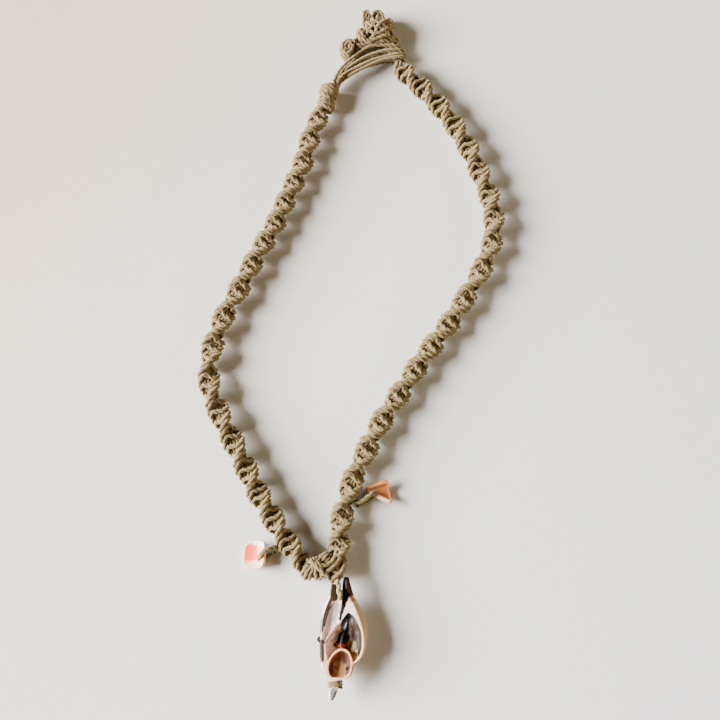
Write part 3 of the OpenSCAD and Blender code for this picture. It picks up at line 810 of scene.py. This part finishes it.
pendant = loft("cut_shell", [shell_section(row) for row in finer(shell_rows, GAP_PARTS)])
for rows in (left_prong_rows, right_prong_rows):
    combine(pendant, loft("prong", [shell_section(row) for row in finer(rows, parts=5)]), "UNION")
x, y, below, radius = spine_stub
bpy.ops.mesh.primitive_uv_sphere_add(
    segments=CIRCLE_POINTS, ring_count=CIRCLE_POINTS // 2, radius=radius * MM,
    location=(SHELL_AT - LAYOUT_MIDDLE + [x, y, GROUND_Z - below]) * MM)
combine(pendant, bpy.context.object, "UNION")
hollow_out(pendant, left_chamber)
hollow_out(pendant, right_chamber)
combine(pendant, loft("pillar", [pillar_section(p) for p in finer(pillar, parts=8)]), "UNION")
wall_sections = [chamber_section(row, GROUND_Z) for row in finer(lower_wall, GAP_PARTS)]
combine(pendant, loft("wall", wall_sections), "UNION")
hollow_out(pendant, lower_chamber)
bpy.ops.mesh.primitive_cylinder_add(
    vertices=CIRCLE_POINTS, radius=HANGER_HOLE_D / 2 * MM, depth=HANGER_HOLE_DEPTH * MM,
    location=(SHELL_AT - LAYOUT_MIDDLE + HANGER_HOLE_AT) * MM, rotation=HANGER_HOLE_LEAN)
combine(pendant, bpy.context.object, "DIFFERENCE")
round_off(pendant, PENDANT_VOXEL, passes=4)

# Brush strokes on the inside and the cut face: colour, brush radius, how
# soft its edge is, and where it goes, in the shell's own millimetres. Some
# are painted light: a glint with its glow on the dark pillar, and paler
# paint where the right chamber lies in shade.
inside_strokes = [
    [(0.48, 0.43, 0.39), 4.0, 0.6, [(3.4, 5), (3.6, -3)]],
    [(0.41, 0.36, 0.32), 1.0, 1.2, [(4.2, 7.0), (5.6, 3.0), (5.4, 0.0), (4.8, -3.4)]],
    [(0.36, 0.29, 0.24), 0.8, 0.8, [(4.3, 2.4), (4.3, -1.0)]],
    # Painted light: near-white paint on the chamber floor in the shade of the lower wall
    [(1.0, 0.93, 0.80), 0.5, 0.5, [(3.7, -1.8), (3.8, -3.2), (3.2, -4.0)]],
    [(0.95, 0.86, 0.84), 2.6, 0.6, [(-2.2, 3.2), (-3.4, -3)]],
    [(0.80, 0.66, 0.58), 0.4, 0.5, [(-1.6, 4.0), (-3.4, 1.4)]],
    [(0.50, 0.50, 0.52), 1.0, 0.8, [(2.7, 8.2), (3.0, 6.6)]],
    [(1.0, 0.98, 0.98), 2.4, 0.5, [(-2.2, 11), (-3.9, 7), (-4.8, 3.6)]],
    [(0.50, 0.44, 0.42), 0.3, 0.3, [(-3.4, 11.6), (-4.4, 9.6), (-5.1, 7.4), (-5.5, 5.4)]],
    [(0.86, 0.82, 0.83), 0.8, 0.8, [(-1.6, 9.4), (-2.4, 7.0)]],
    [(0.88, 0.77, 0.72), 0.7, 0.8, [(-2.0, 6.0), (-4.0, 2.9)]],
    [(0.88, 0.80, 0.77), 0.9, 0.8, [(-1.3, 11.8), (-1.4, 9.8)]],
    # Painted light: a white strip in the pillar's shadow, lighter than the shell's mauve there
    [(1.0, 1.0, 1.0), 0.6, 0.3, [(2.2, 7.0), (2.3, 0.6)]],
    [(0.50, 0.44, 0.41), 0.35, 0.3, [(3.1, 7.2), (3.2, 2.0)]],
    [(0.06, 0.07, 0.12), 0.5, 0.25, [(1.3, 7.4), (1.2, 4.0)]],
    [(0.06, 0.07, 0.12), 1.0, 0.3, [(0.7, 4.8), (0.7, 4.2)]],
    [(0.06, 0.05, 0.06), 1.75, 0.3, [(0.2, 2.2), (0.1, 1.4)]],
    [(0.06, 0.05, 0.06), 0.5, 0.3, [(-1.6, 0.9), (-0.6, 0.5)]],
    # Painted highlight: a bluish glow round the glint on the dark pillar
    [(0.62, 0.66, 0.74), 0.55, 0.5, [(0.7, 7.0), (0.1, 5.0)]],
    [(0.08, 0.07, 0.09), 0.22, 0.2, [(1.6, 9.0), (-0.3, 6.6)]],
    # Painted highlight: the white glint on the pillar
    [(1.0, 1.0, 1.0), 0.34, 0.3, [(0.75, 6.1), (0.25, 5.0)]],
    [(0.26, 0.10, 0.06), 0.5, 0.4, [(1.5, 0.5), (-1.3, 0.3)]],
    [(0.50, 0.28, 0.13), 0.6, 0.6, [(-0.9, -0.4), (1.4, -0.3)]],
    [(0.62, 0.37, 0.19), 0.6, 0.5, [(-2.3, 0.1), (-1.6, -0.4)]],
    [(0.84, 0.64, 0.34), 0.6, 0.5, [(2.0, 0.4), (2.5, -1.8)]],
    [(0.78, 0.74, 0.60), 0.6, 0.6, [(3.1, 0.6), (3.1, -2.6)]],
    [(0.93, 0.85, 0.70), 0.5, 0.4, [(2.7, -2.0), (2.9, -3.4)]],
    [(0.70, 0.50, 0.40), 1.3, 0.6, [(-0.8, -2.8), (-2.4, -4.2)]],
    [(0.50, 0.39, 0.33), 1.0, 0.7, [(0.4, -2.9), (1.5, -5.0)]],
    [(0.54, 0.34, 0.15), 0.6, 0.4, [(-3.3, -5.2), (-3.5, -7.0), (-3.0, -8.4)]],
    [(0.85, 0.74, 0.58), 0.9, 0.8, [(-1.4, -5.4), (-0.4, -6.6), (-1.6, -7.2)]],
    [(0.80, 0.66, 0.50), 0.7, 0.6, [(-2.4, -8.5), (0.4, -8.5)]],
    [(0.76, 0.62, 0.52), 0.8, 0.7, [(0.6, -6.2), (0.4, -8.0)]],
    [(0.56, 0.43, 0.38), 0.8, 0.5, [(1.9, -4.0), (2.0, -6.0), (1.5, -7.8)]],
    [(0.03, 0.01, 0.01), 0.45, 0.2, [(1.35, -6.2), (1.2, -6.7)]]]
# The same on the ground rims, which lie in one plane
rim_strokes = [
    [(0.98, 0.91, 0.88), 1.6, 0.6, [(1.2, 10.6), (2.2, 10.4)]],
    [(0.36, 0.31, 0.26), 1.3, 0.3, [(-2.4, 17.6), (-2.6, 13.7)]],
    [(0.24, 0.19, 0.17), 0.35, 0.3, [(-2.0, 17.4), (-1.8, 14.4)]],
    [(0.42, 0.36, 0.34), 0.55, 0.25, [(-3.3, 13.4), (-4.45, 11.0), (-5.7, 7.4), (-6.2, 4.1)]],
    [(0.98, 0.94, 0.94), 0.5, 0.3, [(0.6, 9.3), (-0.2, 7.8), (-0.8, 6.4)]],
    [(0.66, 0.54, 0.49), 0.7, 0.4, [(-1.6, 5.3), (-3.2, 3.2), (-5.0, 1.0)]],
    [(0.62, 0.49, 0.45), 0.8, 0.5, [(2.2, 14.2), (2.9, 12.9)]],
    [(0.43, 0.38, 0.34), 0.85, 0.3, [(-6.2, 0.8), (-6.2, -4.0)]],
    [(1.0, 0.92, 0.80), 0.28, 0.2, [(-5.2, 0.0), (-5.0, -3.8)]],
    [(0.30, 0.28, 0.26), 0.2, 0.2, [(-6.1, -4.4), (-5.2, -5.0)]],
    [(0.96, 0.77, 0.62), 0.5, 0.4,
     [(-4.1, -6.6), (-3.7, -3.9), (-2.6, -2.1), (-0.3, -1.3), (1.8, -2.2), (2.5, -4.0), (2.4, -6.0)]],
    [(0.93, 0.83, 0.76), 1.2, 0.6, [(-5.6, -6.0), (-5.0, -8.4)]],
    [(0.94, 0.82, 0.78), 0.6, 0.5, [(2.3, -6.2), (1.8, -8.2)]],
    [(0.61, 0.61, 0.61), 1.2, 0.5, [(-2.8, -12.9), (-3.0, -15.0)]],
    [(0.40, 0.42, 0.44), 0.35, 0.4, [(-2.0, -13.2), (-2.6, -15.0)]],
    [(0.96, 0.95, 0.94), 0.4, 0.3, [(-4.0, -12.4), (-3.9, -15.0)]]]
outside_strokes = [
    # Partly painted highlight: a white edge along the left prong's outer side, over its cream shell
    [(0.97, 0.95, 0.92), 0.5, 0.4, [(-3.8, 17.4), (-4.9, 12.6), (-6.0, 9.4)]],
    [(0.42, 0.39, 0.36), 0.6, 0.4, [(-6.7, 7.0), (-7.0, 3.0)]],
    [(0.22, 0.22, 0.22), 1.0, 0.3, [(-7.2, 2.0), (-7.2, 1.2)]],
    [(0.26, 0.25, 0.23), 0.5, 0.3, [(-7.0, 0.5), (-6.7, -4.4)]],
    [(0.79, 0.70, 0.60), 1.6, 0.9, [(4.6, 11.6), (6.6, 6.6), (7.0, 2.0)]],
    [(0.80, 0.66, 0.50), 1.3, 0.9, [(5.2, -3.4), (3.6, -6.6)]],
    [(0.74, 0.58, 0.42), 1.0, 0.6, [(2.4, -8.4), (3.0, -7.0)]],
    [(0.61, 0.61, 0.61), 1.6, 0.6, [(-2.6, -12.9), (-2.8, -15.0)]]]
# The same over everything: the nearly black right prong, and below it the gap
# between the whorls, painted black as the shade in their deep groove
last_strokes = [
    [(0.34, 0.23, 0.15), 1.5, 0.3, [(1.0, 19.4), (1.4, 16.2), (1.7, 15.2)]],
    [(0.06, 0.04, 0.04), 0.8, 0.3, [(0.3, 19.4), (0.2, 13.4)]],
    # Painted shade: the black gap between the whorls
    [(0.04, 0.02, 0.02), 0.9, 0.2, [(1.0, 14.2), (0.6, 12.9)]],
    [(0.04, 0.02, 0.02), 0.75, 0.2, [(0.3, 12.4), (0.1, 11.2)]],
    [(0.04, 0.02, 0.02), 0.58, 0.2, [(0.0, 11.0), (-0.45, 9.2)]],
    [(0.04, 0.02, 0.02), 0.45, 0.2, [(-0.5, 9.2), (-0.9, 7.3)]],
    [(0.50, 0.45, 0.44), 0.16, 0.2, [(0.75, 18.4), (0.95, 16.2)]]]

# The inside is what doesn't face down between the edges of the cut, give or
# take a little; the rim is its top, with the tops of the prongs. The outside
# has paler and browner bands that run round it at a slant.
EDGE_SLACK = 0.1
PRONGS_Y = 13
RIM_DEPTH = 0.3
PRONG_DEPTH = 0.5

places, normals = places_and_normals(pendant, SHELL_AT)
x, y, z = places.T
edges = finer([row[:3] for row in shell_rows], parts=6)
left_edge = np.interp(y, edges[:, 0], edges[:, 1]) - EDGE_SLACK
right_edge = np.interp(y, edges[:, 0], edges[:, 2]) + EDGE_SLACK
inside = (normals[:, 2] > -0.3) & (x > left_edge) & (x < right_edge)
on_prong = (y > PRONGS_Y) & (z > GROUND_Z - PRONG_DEPTH)
rim = (z > GROUND_Z - RIM_DEPTH) & (inside | on_prong)
whorls = 0.5 + 0.5 * np.sin(1.3 * y + 0.5 * x + 0.9 * z)[:, None]
colours = shell_paint((0.74, 0.60, 0.46)) * (1 - whorls) + shell_paint((0.90, 0.82, 0.72)) * whorls
paint_strokes(colours, places, ~inside, outside_strokes)
colours[inside] = shell_paint((0.66, 0.58, 0.57))
paint_strokes(colours, places, inside & ~rim, inside_strokes)
colours[rim] = shell_paint((0.97, 0.85, 0.73))
paint_strokes(colours, places, rim, rim_strokes)
paint_strokes(colours, places, normals[:, 2] > -0.5, last_strokes)
store_paint(pendant, colours)
pendant.data.materials.append(shell_material("cut_shell", roughness=0.5))
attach(pendant, "root")
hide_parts("pendant_shell")


# Tip wrap: two turns of thin hemp cord, wound tightly round the shell in the
# groove above its tip.
TIP_CORD_D = 0.9
WRAP_AT = np.array([-2.2, -11.0, GROUND_Z - 1.0])
WRAP_R = 1.9
WRAP_PITCH = TIP_CORD_D * 0.96

tip_route = [SHELL_AT + WRAP_AT + [WRAP_R * math.cos(a), WRAP_PITCH * (1 - a / (2 * math.pi)),
                                   WRAP_R * math.sin(a)] for a in np.linspace(0, 4 * math.pi, 60)]
tip_wrap = Cords()
tip_wrap.add_cord(tip_route, TIP_CORD_D, step=SHORT_RING_STEP)
tip_wrap.to_object("tip_turns", hemp, "tip_wrap")


# Left chip: a thin dished piece broken from a bivalve and tumbled smooth,
# salmon pink in the middle and cream round its rim, with a drilled hole.
LEFT_CHIP_AT = np.array([-32.5, -74.6, 0.0])
OUTLINE_POINTS = 40
left_chip_outline = [
    [3.3, 3.6], [3.4, 2.2], [3.2, -2.2], [2.8, -4.0], [0.0, -4.3], [-2.4, -3.9],
    [-3.6, -2.0], [-3.6, 0.8], [-2.4, 3.2], [-0.2, 4.0]]
# The chip's back is part of a ball, and its dish of a smaller ball, raised a
# little; both are built up in rings, as shares of the outline.
LEFT_CHIP_R = 8
LEFT_DISH_RAISED = 0.5
dish_rings = (0.02, 0.3, 0.55, 0.8, 1)
LEFT_CHIP_TILT = 20
LEFT_CHIP_HOLE = (1.6, -0.9)
CHIP_WALL = 1.2
CHIP_HOLE_D = 1.8
CHIP_HOLE_ENDS = (-1.0, 4.0)
CHIP_VOXEL = 0.12
left_chip_strokes = [
    [(0.98, 0.56, 0.44), 1.15, 0.5,
     [(0.2, 2.0), (1.7, 1.9), (1.8, -0.6), (0.2, -0.7), (0.2, 2.0), (1.8, -0.6)]],
    [(0.98, 0.76, 0.66), 0.8, 0.8, [(4.6, 0.2), (3.6, -1.8)]],
    [(1.0, 0.97, 0.92), 0.8, 0.6, [(2.2, 3.7), (5.2, 2.8), (5.6, 0.6)]],
    [(0.99, 0.88, 0.76), 0.9, 0.6, [(0.4, -3.4), (4.8, -3.6)]],
    # Painted shade: a brown streak down from the hole, where the tie and the hole lie in shadow
    [(0.66, 0.45, 0.32), 0.4, 0.4, [(4.4, -0.6), (3.4, -1.5)]]]

closed_outline = left_chip_outline + left_chip_outline[:1]
way_round = np.linspace(0, len(left_chip_outline), OUTLINE_POINTS, endpoint=False)
outline = curve_through(closed_outline, way_round)
tilt = math.radians(-LEFT_CHIP_TILT)


def tilted(points):
    """Chip points turned about the middle of its dish and put in their place."""
    x, y, z = points[:, 0], points[:, 1], points[:, 2] - LEFT_CHIP_R
    c, s = math.cos(tilt), math.sin(tilt)
    return np.column_stack([x * c + z * s, y, z * c - x * s]) + [0, 0, LEFT_CHIP_R] + LEFT_CHIP_AT


def dish_ring(scale, radius, middle):
    """The chip's outline at a smaller size, let down on a dish of this radius."""
    ring = outline * scale
    drop = np.sqrt(radius**2 - (ring**2).sum(axis=1))
    return tilted(np.column_stack([ring, middle - drop]))


inner_r = LEFT_CHIP_R - CHIP_WALL + LEFT_DISH_RAISED
below = [dish_ring(s, LEFT_CHIP_R, LEFT_CHIP_R) for s in dish_rings]
above = [dish_ring(s, inner_r, LEFT_CHIP_R + LEFT_DISH_RAISED) for s in reversed(dish_rings)]
left_chip = loft("pale_chip", below + above)
hole_ends = tilted(np.array([[*LEFT_CHIP_HOLE, z] for z in CHIP_HOLE_ENDS]))
hole = [np.array([[u, v, z] for u, v in circle(x, y, CHIP_HOLE_D / 2)]) for x, y, z in hole_ends]
combine(left_chip, loft("hole", hole), "DIFFERENCE")
round_off(left_chip, CHIP_VOXEL, passes=6)
places, _ = places_and_normals(left_chip, LEFT_CHIP_AT)
colours = np.tile(shell_paint((1.0, 0.86, 0.73)), (len(places), 1))
paint_strokes(colours, places, np.ones(len(places)), left_chip_strokes)
store_paint(left_chip, colours)
left_chip.data.materials.append(shell_material("pale_chip", roughness=0.32))
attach(left_chip, "root")
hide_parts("left_chip")


# Right chip: a small fan, broken from a scallop's edge, orange tan with a
# red-orange edge, dished and drilled like the left one.
RIGHT_CHIP_AT = np.array([3.4, -54.6, 0.0])
RIGHT_CHIP_TURN = math.radians(-8)
RIGHT_CHIP_TOP = 3.4
# x along the fan, half its width, depth of its back
right_chip_rows = [
    [0.0, 0.9, 1.0], [1.5, 1.5, 1.6], [3.5, 2.4, 2.3], [6.0, 3.2, 2.9], [8.0, 3.6, 3.1], [8.9, 3.1, 2.8]]
RIGHT_CHIP_HOLE = (2.7, -0.9)
# From here on out, the fan is pulled in more and more towards its upper side
FAN_SKEW_X = 3
FAN_SKEW = 0.06
FAN_HALF_W = 3.6
right_chip_strokes = [
    [(0.83, 0.63, 0.46), 2.6, 2.0, [(5.6, 2.4), (7.4, -1.6)]],
    [(0.82, 0.54, 0.40), 0.9, 0.9, [(6.6, 3.0), (9.0, -2.8)]],
    [(0.95, 0.86, 0.76), 0.9, 0.9, [(3.2, -2.6), (6.4, -3.8)]],
    [(0.76, 0.55, 0.46), 1.0, 1.0, [(8.4, -3.8)]]]


def fan_point(x, y, z):
    """Place of a point of the fan, whose broad edge runs a little askew."""
    c, s = math.cos(RIGHT_CHIP_TURN), math.sin(RIGHT_CHIP_TURN)
    x -= FAN_SKEW * max(x - FAN_SKEW_X, 0) * (y + FAN_HALF_W)
    return np.array([x * c - y * s, x * s + y * c, z]) + RIGHT_CHIP_AT


def fan_section(row, inset):
    """Section across the fan, or across its dish where it is inset from the back."""
    x, half, depth = row[0], row[1] - inset, row[2] - inset
    top = RIGHT_CHIP_TOP + (CUT_CLEARANCE if inset > 0 else 0)
    flat = [fan_point(x, y, top) for y in np.linspace(half, -half, FLAT_POINTS)]
    bowl = [fan_point(x, -half * math.cos(a), RIGHT_CHIP_TOP - depth * math.sin(a))
            for a in np.linspace(0, math.pi, HALF_ROUND_POINTS)]
    return np.array(flat + bowl)


fan_rows = finer(right_chip_rows, GAP_PARTS)
right_chip = loft("tan_chip", [fan_section(row, 0) for row in fan_rows])
dished = [row for row in fan_rows if row[1] > CHIP_WALL + 0.05]
combine(right_chip, loft("dish", [fan_section(row, CHIP_WALL) for row in dished]), "DIFFERENCE")
hole = [np.array([fan_point(x, y, z) for x, y in circle(*RIGHT_CHIP_HOLE, CHIP_HOLE_D / 2)])
        for z in CHIP_HOLE_ENDS]
combine(right_chip, loft("hole", hole), "DIFFERENCE")
round_off(right_chip, CHIP_VOXEL, passes=6)
places, _ = places_and_normals(right_chip, RIGHT_CHIP_AT)
colours = np.tile(shell_paint((0.74, 0.58, 0.46)), (len(places), 1))
paint_strokes(colours, places, np.ones(len(places)), right_chip_strokes)
store_paint(right_chip, colours)
right_chip.data.materials.append(shell_material("tan_chip", roughness=0.38))
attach(right_chip, "root")
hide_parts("right_chip")


# Ties: a short cord from each band goes down through the chip's hole and
# back below it to the band. Their hemp is a little greener.
TIE_D = 1.6
left_tie_route = [
    [-23.5, -72.6, 3.7], [-25.2, -72.8, 4.6], [-27.2, -73.7, 4.8], [-28.6, -75.2, 3.2],
    [-28.4, -75.5, 1.5], [-27.6, -75.2, 0.8], [-26.0, -74.6, 0.9], [-24.4, -74.0, 2.2]]
right_tie_route = [
    [-0.4, -58.9, 3.6], [2.2, -58.6, 4.3], [4.4, -57.2, 4.4], [5.9, -56.0, 3.6],
    [6.0, -55.9, 1.2], [4.8, -57.2, 0.6], [2.6, -58.8, 0.9], [0.6, -59.8, 2.0]]
olive_hemp = hemp_material("olive_hemp", light=(0.22, 0.18, 0.085), dark=(0.13, 0.10, 0.045))
for name, route, node in (("left_tie", left_tie_route, "left_chip_tie"),
                          ("right_tie", right_tie_route, "right_chip_tie")):
    tie = Cords()
    tie.add_cord(route, TIE_D, step=SHORT_RING_STEP)
    tie.to_object(name, olive_hemp, node)
